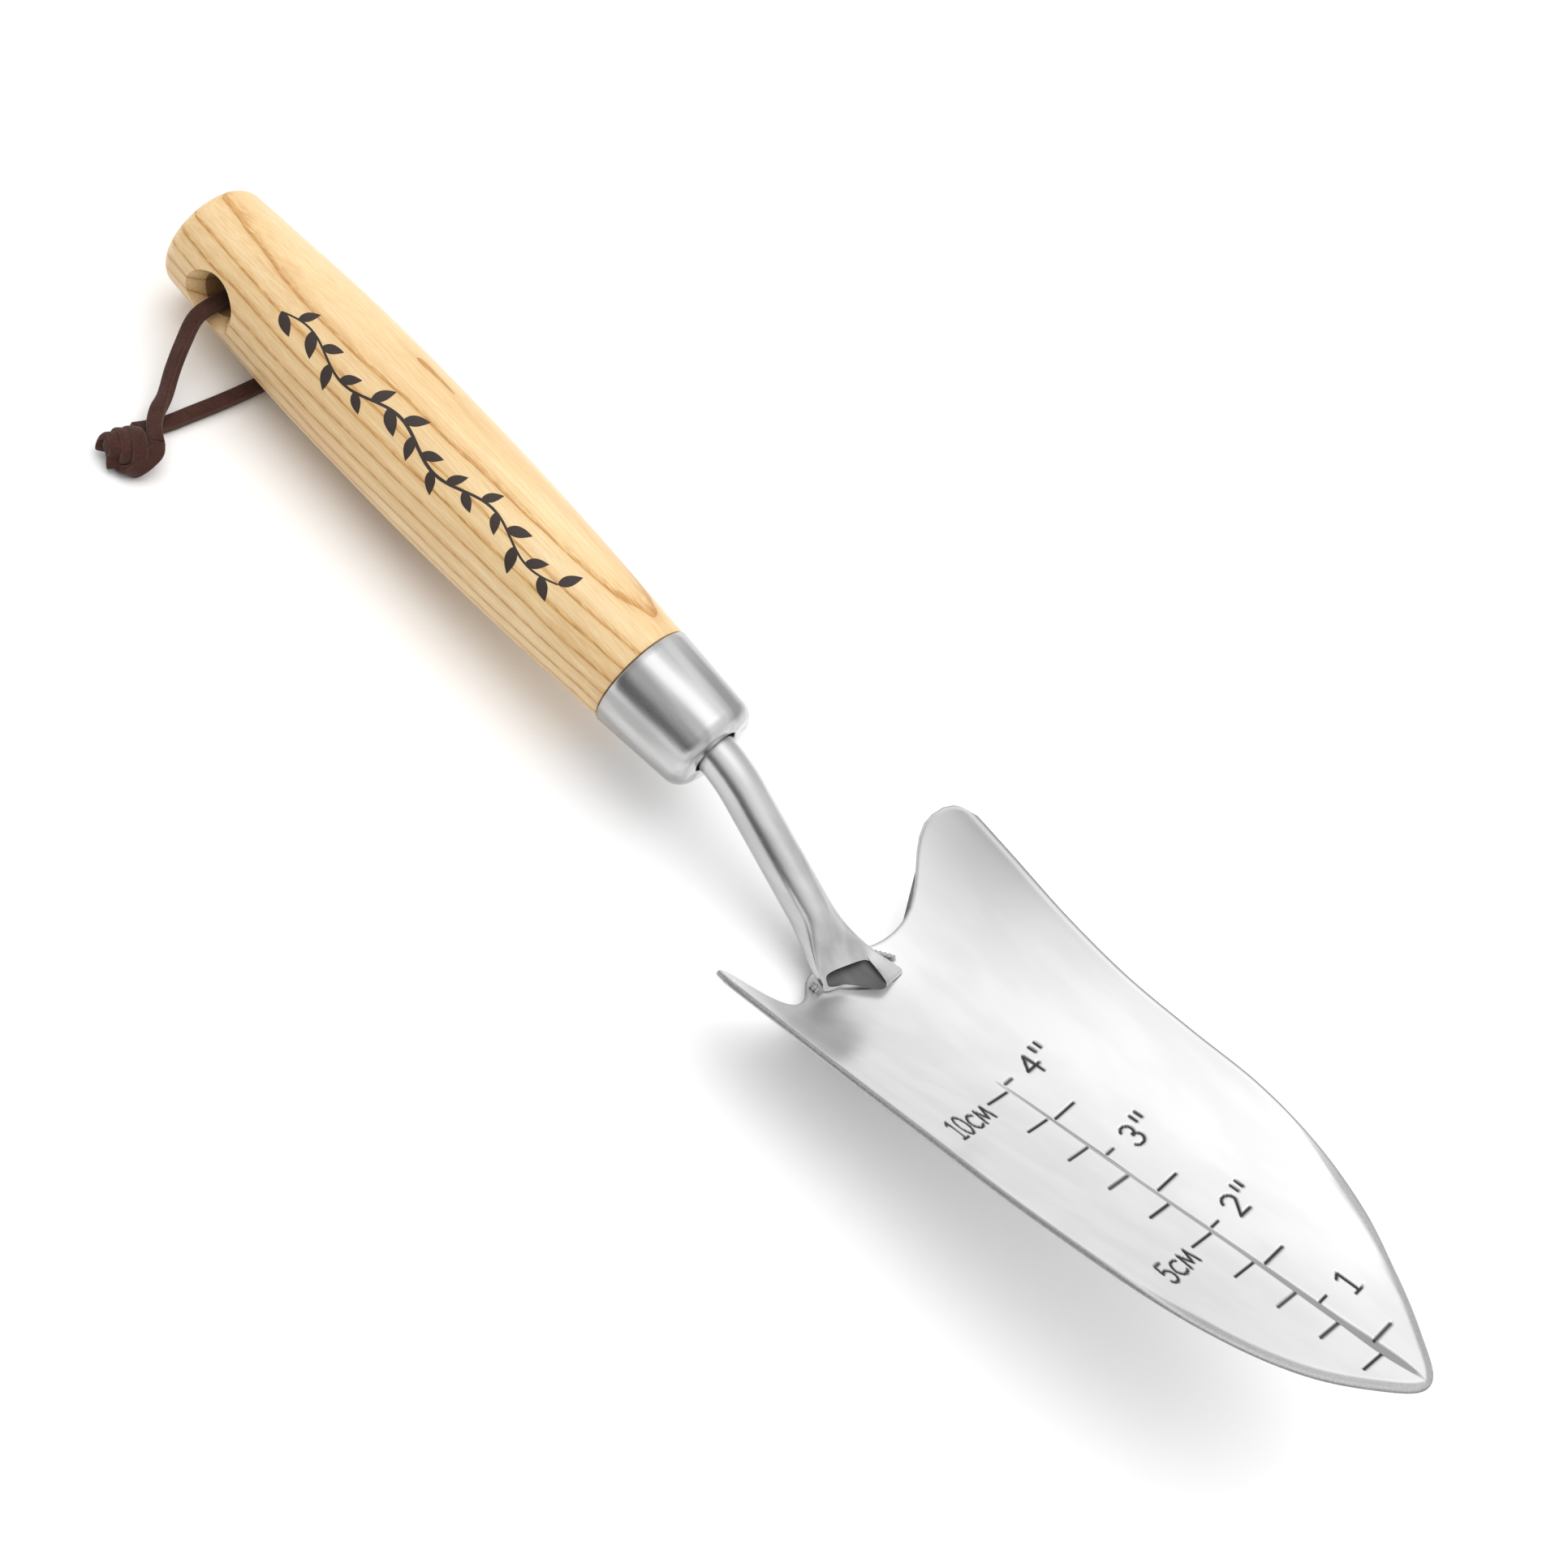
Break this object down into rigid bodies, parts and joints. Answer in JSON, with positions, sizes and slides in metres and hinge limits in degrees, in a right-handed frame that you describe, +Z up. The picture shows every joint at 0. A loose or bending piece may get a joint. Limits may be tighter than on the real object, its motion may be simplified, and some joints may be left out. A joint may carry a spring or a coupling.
{
  "type": "hand trowel",
  "caption": "Hand trowel with a dished stainless blade on a bent tube neck, a steel ferrule, a turned ash handle and a suede hanging thong tied in a knot.",
  "frame": {"origin": "on the ground under the middle of the trowel, halfway between the butt and the blade's tip, on the trowel's plane of symmetry", "axes": "+X towards the blade's tip, +Y across the blade to the left as seen from the handle, +Z up, out of the scoop; the trowel lies on its back"},
  "size_m": [0.3482, 0.0896, 0.0501],
  "materials": {
    "handle": "satin",
    "ferrule": "satin",
    "neck_tube": "satin",
    "blade": "satin",
    "weld_left": "matte",
    "weld_right": "matte",
    "thong": "matte",
    "thong_knot": "matte"
  },
  "bodies": {
    "root": {"handle": "handle", "ferrule": "ferrule", "neck_tube": "neck_tube", "blade": "blade", "weld_left": "weld_left", "weld_right": "weld_right", "thong": "thong", "thong_knot": "thong_knot"}
  },
  "joints": []
}
